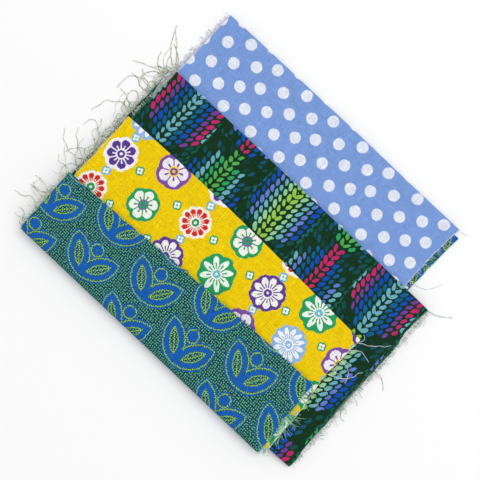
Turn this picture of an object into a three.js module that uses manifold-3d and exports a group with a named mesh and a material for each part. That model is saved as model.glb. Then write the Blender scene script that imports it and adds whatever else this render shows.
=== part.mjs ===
// A stack of four quarter yard cuts of printed quilting cotton, lying flat.
//
// Each cut is a strip a quarter of a yard (9 inches) long by the bolt's width
// of 42 inches. The width is folded in four plies, about 267 mm wide. The four
// folded cuts are fanned out, and then folded over together along one long
// edge. The teal cut is outermost, then come yellow, green and polka dot blue.
// So each cut runs from its base, below, round the shared fold to its flap,
// above. The flaps show as four steps, with the teal one on top.
//
// One sheet of each solid stands for the four pressed plies of its cloth.
//
// Millimetres, Z up. X runs along the quarter yard, with the frayed cut ends at
// both sides. Y runs across the fan, from the shared fold at y = 0.

import * as THREE from "three";
import { mergeVertices } from "three/addons/utils/BufferGeometryUtils.js";
import Module from "manifold-3d";

const { lerp, clamp, smoothstep } = THREE.MathUtils;

// Driving dimensions: the sheets and how they lie on each other
const SHEET = 1.2;
const GAP = 0.3;
const PITCH = SHEET + GAP;

// One row for each cut, from the outermost in. The edge columns are Y, on the
// left and on the right, and the end columns are X, at the fold and at the far
// edge of the flap and of the base.
// inset: how far its fold lies inside the outermost one
// bow, sway: how far the flap's edge bends out, in one wave and in two
// puff: how far the flap's edge stands up off the next cut
const CUTS = [
  {
    name: "teal", colour: 0x1f7470, inset: 0.0,
    flapLeft: 53.9, flapRight: 62.8, baseEdge: 210.3, bow: 1.0, sway: -0.7, puff: 0.7,
    leftFold: 1.3, leftFlap: 0.0, leftBase: 5.6,
    rightFold: 230.0, rightFlap: 227.7, rightBase: 232.4,
  },
  {
    name: "yellow", colour: 0xf3cf0a, inset: 1.8,
    flapLeft: 110.9, flapRight: 108.6, baseEdge: 160.0, bow: 2.3, sway: 0.3, puff: 0.5,
    leftFold: 4.6, leftFlap: 1.9, leftBase: 7.0,
    rightFold: 234.0, rightFlap: 229.2, rightBase: 232.0,
  },
  {
    name: "green", colour: 0x0f3f1f, inset: 7.5,
    flapLeft: 157.5, flapRight: 157.4, baseEdge: 126.0, bow: 0.3, sway: 0.0, puff: 0.5,
    leftFold: 2.4, leftFlap: 3.4, leftBase: 1.4,
    rightFold: 257.0, rightFlap: 253.0, rightBase: 255.0,
  },
  {
    name: "blue", colour: 0x7c9bdc, inset: 12.4,
    flapLeft: 213.7, flapRight: 214.5, baseEdge: 79.0, bow: 0.4, sway: 0.1, puff: 0.8,
    leftFold: 4.8, leftFlap: 4.5, leftBase: 5.6,
    rightFold: 227.4, rightFlap: 228.0, rightBase: 229.0,
  },
];

// The shared fold: half of the eight stacked sheets on each side of its middle
const LEVELS = 2 * CUTS.length;
const FOLD_MIDDLE = (LEVELS * PITCH - GAP) / 2;
const FOLD_SIDES = 8;
const NOSE_SIDES = 3;

// Where a base below ends, the flaps above sink by one pitch in this length
const SETTLE_START = 1.0;
const SETTLE_LENGTH = 15.0;
const SETTLE_SIDES = 4;

// Steps of the sheets' surfaces, along X and along Y
const STEPS_ALONG = 11;
const STEP_ACROSS = 20.0;
const LEAST_STEP = 2.5;

// The green cut is longer than the rest, and its right end sags past them. Its
// flap sags more than its base, by a share of the blue sheets that end between.
const LONG_CUT = CUTS[2];
const INNER_CUT = CUTS[3];
const SUPPORT_END = 232.0;
const STEPS_IN_SAG = 3;
const SAG_LENGTH = 30.0;
const SAG_BASE = 2.1;
const SAG_SHARE = 0.85;

// The stack isn't quite even: its height swells and dips by this share
const SWELL = 0.035;
const SWELL_LENGTH = 176.0;
const SWELL_WIDTH = 250.0;
const PUFF_LENGTH = 104.0;

// Frayed threads, fused at their roots into a narrow strip beside the cloth.
// One row for each strip: it runs from y = from to y = to, and lean turns the
// threads towards larger Y. Side is -1 at the left end and 1 at the right.
const THREAD = 0.4;
const STRIP_WIDTH = 1.5;
const STRIP_MARGIN = 0.15;
const ROOT_DEPTH = 0.7;
const FRAYS = [
  { cut: 0, side: -1, from: 3.0, to: 52.0, threads: 17, shortest: 4, longest: 13, lean: -0.1, seed: 11 },
  { cut: 1, side: -1, from: 60.0, to: 109.0, threads: 20, shortest: 6, longest: 19, lean: 0.1, seed: 23 },
  { cut: 2, side: -1, from: 113.0, to: 157.0, threads: 18, shortest: 6, longest: 20, lean: 0.35, seed: 37 },
  { cut: 3, side: -1, from: 163.0, to: 211.0, threads: 8, shortest: 2.5, longest: 5, lean: 0.2, seed: 41 },
  { cut: 0, side: 1, from: 4.0, to: 60.0, threads: 16, shortest: 5, longest: 15, lean: -0.5, seed: 53 },
  { cut: 1, side: 1, from: 68.0, to: 106.0, threads: 9, shortest: 4, longest: 13, lean: 0.0, seed: 61 },
  { cut: 2, side: 1, from: 14.0, to: 156.0, threads: 28, shortest: 3, longest: 16, lean: 0.1, seed: 79 },
  { cut: 3, side: 1, from: 162.0, to: 212.0, threads: 11, shortest: 3, longest: 15, lean: 0.1, seed: 83 },
];

// How a thread's way is found: it must clear all threads laid before it
const THREAD_STEP = 2.6;
const THREAD_CLEAR = 1.15;
const EDGE_CLEAR = 2.0;
const MOST_TRIES = 60;
const FIRST_SLOPE = 0.12;
const SLOPE_GAIN = 0.22;
const STEEPEST = 0.95;

const levelOf = (cut, isFlap) => (isFlap ? LEVELS - 1 - CUTS.indexOf(cut) : CUTS.indexOf(cut));
const outerRadius = (cut) => FOLD_MIDDLE - CUTS.indexOf(cut) * PITCH;
const foldCentre = (cut) => cut.inset + outerRadius(cut);

// From 0 where the base of a cut still lies below to 1 past its far edge
function pastBase(cut, y) {
  const start = cut.baseEdge + SETTLE_START;
  return smoothstep(y, start, start + SETTLE_LENGTH);
}

// How far the flaps have sunk at y, past the bases that have ended
function sunk(y) {
  return CUTS.reduce((depth, cut) => depth + PITCH * pastBase(cut, y), 0);
}

// How far the long cut hangs down at a place past the cuts that carry it
function sag(onFlap, x, y) {
  const extra = onFlap * SAG_SHARE * PITCH * (2 - pastBase(INNER_CUT, y));
  return (SAG_BASE + extra) * smoothstep(x, SUPPORT_END, SUPPORT_END + SAG_LENGTH);
}

// The flap's far edge at a share of the length, 0 at the left
function flapEdge(cut, share) {
  const bend = cut.bow * Math.sin(Math.PI * share) + cut.sway * Math.sin(2 * Math.PI * share);
  return lerp(cut.flapLeft, cut.flapRight, share) + bend;
}

// The share of the cut's width at y, from its fold to the leg's far edge
function widthShare(cut, y, edge) {
  const centre = foldCentre(cut);
  return clamp((y - centre) / (edge - centre), 0, 1);
}

// The X of the cut's end at a share of its width
function endAt(cut, side, onFlap, share) {
  const names = side < 0 ? ["leftFold", "leftBase", "leftFlap"] : ["rightFold", "rightBase", "rightFlap"];
  return lerp(cut[names[0]], lerp(cut[names[1]], cut[names[2]], onFlap), share);
}

// Where the flap of a cut is no longer covered by the cut outside it
function bareFrom(cut) {
  const cover = CUTS[CUTS.indexOf(cut) - 1];
  return cover ? Math.max(cover.flapLeft, cover.flapRight) + cover.bow + 1 : foldCentre(cut);
}

// The height of a point of the sheets, given its height in the even stack.
// onFlap is 0 on a base, 1 on a flap and between them round the fold.
function settle(cut, onFlap, x, y, z) {
  const lift = 0.5 + 0.5 * Math.sin((2 * Math.PI * x) / PUFF_LENGTH + CUTS.indexOf(cut) * 2);
  const bare = smoothstep(y, bareFrom(cut), Math.max(cut.flapLeft, cut.flapRight));
  let height = z + onFlap * (cut.puff * lift * bare - sunk(y));
  if (cut === LONG_CUT) {
    height -= sag(onFlap, x, y);
  }
  const along = Math.sin((2 * Math.PI * x) / SWELL_LENGTH + 0.7);
  const across = Math.cos((2 * Math.PI * y) / SWELL_WIDTH - 0.5);
  return height * (1 + SWELL * along * across);
}

// Points of an arc from one angle to another, ends included
function arc(y, z, radius, from, to, sides) {
  const points = [];
  for (let i = 0; i <= sides; i += 1) {
    const angle = lerp(from, to, i / sides);
    points.push(new THREE.Vector2(y + radius * Math.cos(angle), z + radius * Math.sin(angle)));
  }
  return points;
}

// The Y of each step of a leg, between its fold and its far edge
function stepsAcross(from, to) {
  const wanted = [];
  for (let y = STEP_ACROSS; y < to; y += STEP_ACROSS) {
    wanted.push(y);
  }
  for (const cut of CUTS) {
    for (let i = 0; i <= SETTLE_SIDES; i += 1) {
      wanted.push(cut.baseEdge + SETTLE_START + (SETTLE_LENGTH * i) / SETTLE_SIDES);
    }
  }
  wanted.sort((a, b) => a - b);
  const kept = [];
  for (const y of wanted) {
    const last = kept.length ? kept[kept.length - 1] : from;
    if (y > last + LEAST_STEP && y < to - LEAST_STEP) {
      kept.push(y);
    }
  }
  return kept;
}

// The section of one cut across the fold, in the even stack, as a closed loop:
// along its outside, round the flap's nose, back inside and round the base's
function foldedSection(cut) {
  const outer = outerRadius(cut);
  const inner = outer - SHEET;
  const centre = foldCentre(cut);
  const nose = SHEET / 2;
  const quarter = Math.PI / 2;
  const flapEnd = (cut.flapLeft + cut.flapRight) / 2 - nose;
  const baseEnd = cut.baseEdge - nose;
  const onBase = stepsAcross(centre, baseEnd);
  const onFlap = stepsAcross(centre, flapEnd);
  const baseBottom = FOLD_MIDDLE - outer;
  const flapTop = FOLD_MIDDLE + outer;
  const atHeight = (z) => (y) => new THREE.Vector2(y, z);
  return [
    ...[...onBase].reverse().map(atHeight(baseBottom)),
    ...arc(centre, FOLD_MIDDLE, outer, 3 * quarter, quarter, FOLD_SIDES),
    ...onFlap.map(atHeight(flapTop)),
    ...arc(flapEnd, flapTop - nose, nose, quarter, -quarter, NOSE_SIDES),
    ...[...onFlap].reverse().map(atHeight(flapTop - SHEET)),
    ...arc(centre, FOLD_MIDDLE, inner, quarter, 3 * quarter, FOLD_SIDES),
    ...onBase.map(atHeight(baseBottom + SHEET)),
    ...arc(baseEnd, baseBottom + nose, nose, quarter, -quarter, NOSE_SIDES),
  ];
}

// A folded section drawn out from z = 0 to z = 1. Its points lie in pairs across
// the sheet, so each end is closed with short faces from one side of the sheet to
// the other, which stay flat however the sheet is then laid.
function drawnOut(section, steps) {
  const count = section.length;
  const place = [];
  const index = [];
  const quad = (a, b, c, d) => index.push(a, b, c, a, c, d);
  for (let step = 0; step <= steps; step += 1) {
    section.forEach((point) => place.push(point.x, point.y, step / steps));
  }
  for (let here = 0; here < steps * count; here += 1) {
    const next = (here + 1) % count ? here + 1 : here + 1 - count;
    quad(next, here, here + count, next + count);
  }
  const end = steps * count;
  const at = (i) => (i + 2 * count) % count;
  const first = -(NOSE_SIDES + 1) / 2;
  for (let i = first; i < first + count / 2 - 1; i += 1) {
    const [a, b] = [at(i), at(i + 1)];
    const [c, d] = [at(2 * first - 2 - i), at(2 * first - 1 - i)];
    quad(a, b, c, d);
    quad(end + d, end + c, end + b, end + a);
  }
  const geometry = new THREE.BufferGeometry();
  geometry.setAttribute("position", new THREE.Float32BufferAttribute(place, 3));
  geometry.setIndex(index);
  return geometry;
}

// Moves every vertex of a geometry, and merges those that share a place
function reshape(geometry, move) {
  geometry.deleteAttribute("normal");
  geometry.deleteAttribute("uv");
  const place = geometry.attributes.position;
  const point = new THREE.Vector3();
  for (let i = 0; i < place.count; i += 1) {
    point.fromBufferAttribute(place, i);
    const moved = move(point);
    place.setXYZ(i, moved.x, moved.y, moved.z);
  }
  return mergeVertices(geometry, 1e-4);
}

// One cut: its section drawn out along X, then laid as the cloth lies
function foldedCut(cut) {
  const isLong = cut === LONG_CUT;
  const steps = STEPS_ALONG + (isLong ? STEPS_IN_SAG : 0);
  const drawn = drawnOut(foldedSection(cut), steps);
  const centre = foldCentre(cut);
  const meanEdge = (cut.flapLeft + cut.flapRight) / 2;
  return reshape(drawn, (point) => {
    const [y, z] = [point.x, point.y];
    const rise = z - FOLD_MIDDLE;
    const onFlap = y < centre ? 0.5 + (0.5 * rise) / Math.hypot(y - centre, rise) : Number(rise > 0);
    const step = Math.round(point.z * steps);
    const share = Math.min(step / STEPS_ALONG, 1);
    const across = widthShare(cut, y, onFlap > 0.5 ? meanEdge : cut.baseEdge);
    const left = endAt(cut, -1, onFlap, across);
    const right = endAt(cut, 1, onFlap, across);
    const held = isLong ? SUPPORT_END : right;
    const past = (step - STEPS_ALONG) / STEPS_IN_SAG;
    const x = past > 0 ? lerp(held, right, past) : lerp(left, held, share);
    const lengthShare = (x - left) / (right - left);
    const shift = onFlap > 0.5 && y > centre ? across * (flapEdge(cut, lengthShare) - meanEdge) : 0;
    return new THREE.Vector3(x, y + shift, settle(cut, onFlap, x, y + shift, z));
  });
}

// The height that a thread lies on at a place: the highest sheet there whose
// level is below the thread's own, or the surface that the stack lies on
function restHeight(x, y, ownLevel) {
  let height = 0;
  for (const cut of CUTS) {
    for (const onFlap of [0, 1]) {
      const level = levelOf(cut, onFlap);
      const edge = onFlap ? Math.max(cut.flapLeft, cut.flapRight) + cut.bow : cut.baseEdge;
      const share = widthShare(cut, y, edge);
      const left = endAt(cut, -1, onFlap, share) - EDGE_CLEAR;
      const right = endAt(cut, 1, onFlap, share) + EDGE_CLEAR;
      const isBeside = y > cut.inset - EDGE_CLEAR && y < edge + EDGE_CLEAR;
      const covered = isBeside && x > left && x < right;
      if (covered && level < ownLevel) {
        height = Math.max(height, settle(cut, onFlap, x, y, level * PITCH + SHEET) + GAP);
      }
    }
  }
  return height;
}

// Repeatable random numbers from 0 to 1
function randomFrom(seed) {
  let state = seed;
  return () => {
    state = (state * 48271) % 2147483647;
    return state / 2147483647;
  };
}

// The points of one thread, from its root in the strip to its free end. It
// leaves the strip level, bends sideways, and falls until it lies on something.
function threadWay(fray, root, random) {
  const short = random();
  const length = lerp(fray.shortest, fray.longest, short * short);
  const steps = Math.max(2, Math.round(length / THREAD_STEP));
  const stride = length / steps;
  const level = levelOf(CUTS[fray.cut], true);
  const firstBend = lerp(-0.12, 0.12, random());
  const lastBend = lerp(-0.34, 0.34, random());
  let heading = fray.lean + lerp(-0.45, 0.45, random());
  let slope = FIRST_SLOPE;
  const points = [root.clone(), root.clone()];
  points[1].x += fray.side * (ROOT_DEPTH + 0.3);
  for (let i = 0; i < steps; i += 1) {
    const last = points[points.length - 1];
    const x = last.x + fray.side * stride * Math.cos(heading);
    const y = last.y + stride * Math.sin(heading);
    const rest = restHeight(x, y, level) + THREAD / 2;
    const z = Math.max(rest, last.z - slope * stride);
    points.push(new THREE.Vector3(x, y, z));
    heading += stride * (i < steps / 2 ? firstBend : lastBend);
    slope = Math.min(STEEPEST, slope + SLOPE_GAIN * stride);
  }
  return points;
}

// True if a way keeps clear of the strip beside it and of all the other ways
function isClear(points, fray, others) {
  const outside = points[1].x;
  for (let i = 2; i < points.length; i += 1) {
    const middle = points[i - 1].clone().lerp(points[i], 0.5);
    for (const point of [middle, points[i]]) {
      const away = fray.side * (point.x - outside);
      const near = others.some((other) => other.distanceTo(point) < THREAD_CLEAR);
      const aside = Math.abs(point.y - points[0].y);
      if (near || away < 0.2 || aside > away + 1) {
        return false;
      }
    }
  }
  return true;
}

// A three-sided thread along its points, flat side down
function thread(points) {
  const side = new THREE.Shape(arc(0, 0, THREAD, -Math.PI / 6, Math.PI * (7 / 6), 2));
  const steps = points.length - 1;
  const drawn = new THREE.ExtrudeGeometry(side, { depth: 1, steps, bevelEnabled: false });
  return reshape(drawn, (point) => {
    const here = Math.round(point.z * steps);
    const before = points[Math.max(here - 1, 0)];
    const after = points[Math.min(here + 1, steps)];
    const ahead = after.clone().sub(before).setZ(0).normalize();
    const aside = new THREE.Vector3(-ahead.y, ahead.x, 0);
    const lowest = Math.max(point.y, -THREAD / 2);
    return points[here].clone().addScaledVector(aside, point.x).setZ(points[here].z + lowest);
  });
}

// The strip that holds the roots: a narrow bar along the flap's cut end
function rootStrip(fray, endX) {
  const cut = CUTS[fray.cut];
  const thick = SHEET - 2 * STRIP_MARGIN;
  const length = fray.to - fray.from;
  const steps = Math.ceil(length / 7);
  const bar = new THREE.BoxGeometry(STRIP_WIDTH, length, thick, 1, steps, 1);
  const bottom = levelOf(cut, true) * PITCH + STRIP_MARGIN;
  return reshape(bar, (point) => {
    const y = point.y + (fray.from + fray.to) / 2;
    const x = endX(y) + fray.side * (GAP + STRIP_WIDTH / 2) + point.x;
    return new THREE.Vector3(x, y, settle(cut, 1, x, y, bottom + point.z + thick / 2));
  });
}

const wasm = await Module();
wasm.setup();

function toSolid(geometry) {
  const vertProperties = new Float32Array(geometry.attributes.position.array);
  const triVerts = new Uint32Array(geometry.index.array);
  return new wasm.Manifold(new wasm.Mesh({ numProp: 3, vertProperties, triVerts }));
}

function toGeometry(solid) {
  const mesh = solid.getMesh();
  const geometry = new THREE.BufferGeometry();
  geometry.setAttribute("position", new THREE.BufferAttribute(mesh.vertProperties, 3));
  geometry.setIndex(new THREE.BufferAttribute(mesh.triVerts, 1));
  return geometry;
}

// One frayed end: its strip with the threads that could be laid clear
function frayedEnd(fray, laid) {
  const cut = CUTS[fray.cut];
  const edge = (cut.flapLeft + cut.flapRight) / 2;
  const endX = (y) => endAt(cut, fray.side, 1, widthShare(cut, y, edge));
  const random = randomFrom(fray.seed);
  let solid = toSolid(rootStrip(fray, endX));
  for (let i = 0; i < fray.threads; i += 1) {
    const spread = (i + 0.5 + lerp(-0.28, 0.28, random())) / fray.threads;
    const y = lerp(fray.from, fray.to, spread);
    const x = endX(y) + fray.side * (GAP + STRIP_WIDTH - ROOT_DEPTH);
    const z = settle(cut, 1, x, y, levelOf(cut, true) * PITCH + SHEET / 2);
    for (let tries = 0; tries < MOST_TRIES; tries += 1) {
      const points = threadWay(fray, new THREE.Vector3(x, y, z), random);
      if (isClear(points, fray, laid)) {
        for (let j = 1; j < points.length; j += 1) {
          laid.push(points[j], points[j - 1].clone().lerp(points[j], 0.5));
        }
        solid = solid.add(toSolid(thread(points)));
        break;
      }
    }
  }
  return toGeometry(solid);
}

function finished(name, geometry, colour) {
  geometry.computeVertexNormals();
  const material = new THREE.MeshStandardMaterial({ color: colour, roughness: 0.9, metalness: 0 });
  const mesh = new THREE.Mesh(geometry, material);
  mesh.name = name;
  return mesh;
}

const stack = new THREE.Group();
for (const cut of CUTS) {
  stack.add(finished(`${cut.name}_cut`, foldedCut(cut), cut.colour));
}
const laid = [];
for (const fray of FRAYS) {
  const cut = CUTS[fray.cut];
  const end = fray.side < 0 ? "left" : "right";
  stack.add(finished(`${cut.name}_fray_${end}`, frayedEnd(fray, laid), 0xd9dcc4));
}

// The origin is under the middle of the whole stack, on the surface
const bounds = new THREE.Box3().setFromObject(stack);
const middle = bounds.getCenter(new THREE.Vector3());
stack.position.set(-middle.x, -middle.y, 0);
const part = new THREE.Group();
part.add(stack);

export default part;
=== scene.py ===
# %% [markdown]
# # A stack of quarter yard cuts
# Four strips of printed quilting cotton, folded, fanned out and folded over together.
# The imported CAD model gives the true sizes. In its place this lesson lays real cloth:
# each cut is one long sheet, thinner than a card, that goes back and forth in four plies.
# We start by loading the CAD model, and note its box, because the cloth must stay in it.

# %% Load the frame
import math
import random
from collections import namedtuple

import bmesh
import bpy
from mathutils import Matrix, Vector, noise


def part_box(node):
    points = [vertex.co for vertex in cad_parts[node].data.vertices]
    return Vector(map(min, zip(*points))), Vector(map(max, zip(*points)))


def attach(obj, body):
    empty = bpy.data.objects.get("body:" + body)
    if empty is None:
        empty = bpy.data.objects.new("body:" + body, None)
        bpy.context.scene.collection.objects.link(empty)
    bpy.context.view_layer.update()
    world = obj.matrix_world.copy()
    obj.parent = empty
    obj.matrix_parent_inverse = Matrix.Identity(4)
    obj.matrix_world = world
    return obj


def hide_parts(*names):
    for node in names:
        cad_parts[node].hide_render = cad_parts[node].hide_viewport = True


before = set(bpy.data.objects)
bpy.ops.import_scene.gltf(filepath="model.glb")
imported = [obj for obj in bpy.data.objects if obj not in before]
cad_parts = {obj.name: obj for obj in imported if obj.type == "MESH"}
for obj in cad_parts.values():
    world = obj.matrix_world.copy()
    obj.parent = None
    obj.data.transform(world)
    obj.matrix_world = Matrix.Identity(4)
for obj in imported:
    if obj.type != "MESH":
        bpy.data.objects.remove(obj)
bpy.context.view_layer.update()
stack_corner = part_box("teal_cut")[0]
print("nodes:", ", ".join(sorted(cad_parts)))

# %% [markdown]
# ## How the stack lies
# We work in millimetres in the stack's own axes, and turn them into metres of the frame
# only where a mesh is written. X runs along the quarter yard, and Y across the fan, from
# the shared fold to the far edge. The table has the same rows as the CAD source: where
# each cut's fold, flap and base end. A flap lies on top, and a base below.

# %% Sizes of the stack
MM = 0.001
SHEET = 1.2
GAP = 0.3
PITCH = SHEET + GAP
CUT_LENGTH = 228.0

CUTS = {
    "teal": {
        "inset": 0.0, "flap_left": 53.9, "flap_right": 62.8, "base_edge": 210.3,
        "bow": 1.0, "sway": -0.7, "puff": 0.7,
        "left_fold": 1.3, "left_flap": 0.0, "left_base": 5.6,
        "right_fold": 230.0, "right_flap": 227.7, "right_base": 232.4,
    },
    "yellow": {
        "inset": 1.8, "flap_left": 110.9, "flap_right": 108.6, "base_edge": 160.0,
        "bow": 2.3, "sway": 0.3, "puff": 0.5,
        "left_fold": 4.6, "left_flap": 1.9, "left_base": 7.0,
        "right_fold": 234.0, "right_flap": 229.2, "right_base": 232.0,
    },
    "green": {
        "inset": 7.5, "flap_left": 157.5, "flap_right": 157.4, "base_edge": 126.0,
        "bow": 0.3, "sway": 0.0, "puff": 0.5,
        "left_fold": 2.4, "left_flap": 3.4, "left_base": 1.4,
        "right_fold": 257.0, "right_flap": 253.0, "right_base": 255.0,
    },
    "blue": {
        "inset": 12.4, "flap_left": 213.7, "flap_right": 214.5, "base_edge": 79.0,
        "bow": 0.4, "sway": 0.1, "puff": 0.8,
        "left_fold": 4.8, "left_flap": 4.5, "left_base": 5.6,
        "right_fold": 227.4, "right_flap": 228.0, "right_base": 229.0,
    },
}
NAMES = list(CUTS)
LEVELS = 2 * len(NAMES)
FOLD_MIDDLE = (LEVELS * PITCH - GAP) / 2
print("levels of cloth at the fold:", LEVELS, "middle of the fold at", FOLD_MIDDLE, "mm")

# %% [markdown]
# ## The height of the cloth at any place
# Where a base below ends, the flaps above sink in a soft step. The green cut is longer
# than the rest, so its right end sags. The flaps' edges puff up off the next cut, and the
# whole stack swells and dips a little. These functions say the same as the CAD source, so
# the cloth lies just where the solids do.

# %% How the cloth settles
SETTLE_START = 1.0
SETTLE_LENGTH = 15.0
SUPPORT_END = 232.0
SAG_LENGTH = 30.0
SAG_BASE = 2.1
SAG_SHARE = 0.85
SWELL = 0.035
SWELL_LENGTH = 176.0
SWELL_WIDTH = 250.0
PUFF_LENGTH = 104.0


def between(low, high, share):
    return low + (high - low) * share


def held(value, low=0.0, high=1.0):
    return max(low, min(high, value))


def smooth(value, low, high):
    share = held((value - low) / (high - low))
    return share * share * (3 - 2 * share)


def place_in_fan(name):
    return NAMES.index(name)


def level_of(name, is_flap):
    return LEVELS - 1 - place_in_fan(name) if is_flap else place_in_fan(name)


def outer_radius(name):
    return FOLD_MIDDLE - place_in_fan(name) * PITCH


def fold_centre(name):
    return CUTS[name]["inset"] + outer_radius(name)


def mean_edge(name):
    return (CUTS[name]["flap_left"] + CUTS[name]["flap_right"]) / 2


def past_base(name, y):
    """From 0 where the base of a cut still lies below to 1 past its far edge."""
    start = CUTS[name]["base_edge"] + SETTLE_START
    return smooth(y, start, start + SETTLE_LENGTH)


def sunk(y):
    return sum(PITCH * past_base(name, y) for name in NAMES)


def sag(on_flap, x, y):
    extra = on_flap * SAG_SHARE * PITCH * (2 - past_base("blue", y))
    return (SAG_BASE + extra) * smooth(x, SUPPORT_END, SUPPORT_END + SAG_LENGTH)


def flap_edge(name, share):
    """The flap's far edge at a share of the length, 0 at the left."""
    cut = CUTS[name]
    bend = cut["bow"] * math.sin(math.pi * share) + cut["sway"] * math.sin(2 * math.pi * share)
    return between(cut["flap_left"], cut["flap_right"], share) + bend


def width_share(name, y, edge):
    centre = fold_centre(name)
    return held((y - centre) / (edge - centre))


def end_at(name, side, on_flap, share):
    """The X of the cut's left or right end, at a share of the way to a leg's far edge."""
    cut = CUTS[name]
    far = between(cut[side + "_base"], cut[side + "_flap"], on_flap)
    return between(cut[side + "_fold"], far, share)


def cloth_length(name):
    """The cut's length between its raw ends, halfway across its flap."""
    return end_at(name, "right", 1, 0.5) - end_at(name, "left", 1, 0.5)


def bare_from(name):
    """Where the flap of a cut comes out from under the cut outside it."""
    index = place_in_fan(name)
    if index == 0:
        return fold_centre(name)
    cover = CUTS[NAMES[index - 1]]
    return max(cover["flap_left"], cover["flap_right"]) + cover["bow"] + 1


def settle(name, on_flap, x, y, z):
    """The height of a point of the cloth, given its height in the even stack."""
    cut = CUTS[name]
    lift = 0.5 + 0.5 * math.sin(2 * math.pi * x / PUFF_LENGTH + place_in_fan(name) * 2)
    bare = smooth(y, bare_from(name), max(cut["flap_left"], cut["flap_right"]))
    height = z + on_flap * (cut["puff"] * lift * bare - sunk(y))
    if name == "green":
        height -= sag(on_flap, x, y)
    along = math.sin(2 * math.pi * x / SWELL_LENGTH + 0.7)
    across = math.cos(2 * math.pi * y / SWELL_WIDTH - 0.5)
    return height * (1 + SWELL * along * across)


def in_frame(x, y, z):
    """A place in the stack's millimetres as a place in the frame's metres."""
    return Vector((stack_corner[0] + x * MM, stack_corner[1] + y * MM, z * MM))


for name in NAMES:
    far = settle(name, 1, CUT_LENGTH / 2, mean_edge(name), level_of(name, True) * PITCH + SHEET)
    print(name, "flap's far edge: top at", round(far, 2), "mm")

# %% [markdown]
# ## Camera
# The photograph was taken from straight above, so the camera looks down and is turned
# about the vertical until the strips run from the upper left to the lower right. Its
# height and lens come from how wide the strips look. A camera straight above shows no
# side of the stack, so the heights show only in soft shadows.

# %% Camera
CAMERA_HEIGHT = 0.575
CAMERA_X = 119.85
CAMERA_Y = 101.4
CAMERA_TURN = 43.4
LENS = 60.0
SENSOR = 36.0
scene = bpy.context.scene


def in_scene(name, data):
    """A new object in the scene that shows this data."""
    made = bpy.data.objects.new(name, data)
    scene.collection.objects.link(made)
    return made


camera_data = bpy.data.cameras.new("camera")
camera_data.lens = LENS
camera_data.sensor_width = SENSOR
camera = in_scene("camera", camera_data)
camera.location = in_frame(CAMERA_X, CAMERA_Y, CAMERA_HEIGHT / MM)
camera.rotation_euler = (0, 0, math.radians(CAMERA_TURN))
scene.camera = camera
print("camera at", [round(c, 3) for c in camera.location])

# %% [markdown]
# ## Shader sums as plain Python
# A pattern is a sum on each point's place: how far is it from the middle of a dot, or
# from a leaf's edge? Blender does such sums with Math nodes. A Wire is one output of a
# node, and its operators add the Math nodes, so that a formula reads as a formula. Every
# other kind of node comes from the one method node. Ink blurs over a bit of a millimetre.

# %% Wires and finishes
INK_BLUR = 0.14


def math_node(operation, is_reflected=False):
    """A method for wires that adds one Math node."""

    def method(*inputs):
        return inputs[0].sum(operation, *(inputs[::-1] if is_reflected else inputs))

    return method


class Wire:
    """One output of a node. Sums on it add Math nodes."""

    def __init__(self, finish, socket):
        self.finish = finish
        self.socket = socket

    def sum(self, operation, *inputs):
        return self.finish.node("Math", {"operation": operation}, dict(enumerate(inputs)))

    __add__ = math_node("ADD")
    __radd__ = math_node("ADD", is_reflected=True)
    __sub__ = math_node("SUBTRACT")
    __rsub__ = math_node("SUBTRACT", is_reflected=True)
    __mul__ = math_node("MULTIPLY")
    __rmul__ = math_node("MULTIPLY", is_reflected=True)
    __truediv__ = math_node("DIVIDE")
    __mod__ = math_node("FLOORED_MODULO")
    __pow__ = math_node("POWER")
    __abs__ = math_node("ABSOLUTE")
    floor = math_node("FLOOR")
    root = math_node("SQRT")
    sine = math_node("SINE")
    cosine = math_node("COSINE")
    larger = math_node("MAXIMUM")
    smaller = math_node("MINIMUM")

    def below(self, limit=0.0, blur=INK_BLUR):
        """1 where this is under the limit, 0 where it is over, with a soft edge."""
        ends = {0: self, 1: limit - blur, 2: limit + blur, 3: 1.0, 4: 0.0}
        return self.finish.node("MapRange", {"interpolation_type": "SMOOTHSTEP"}, ends)


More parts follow.
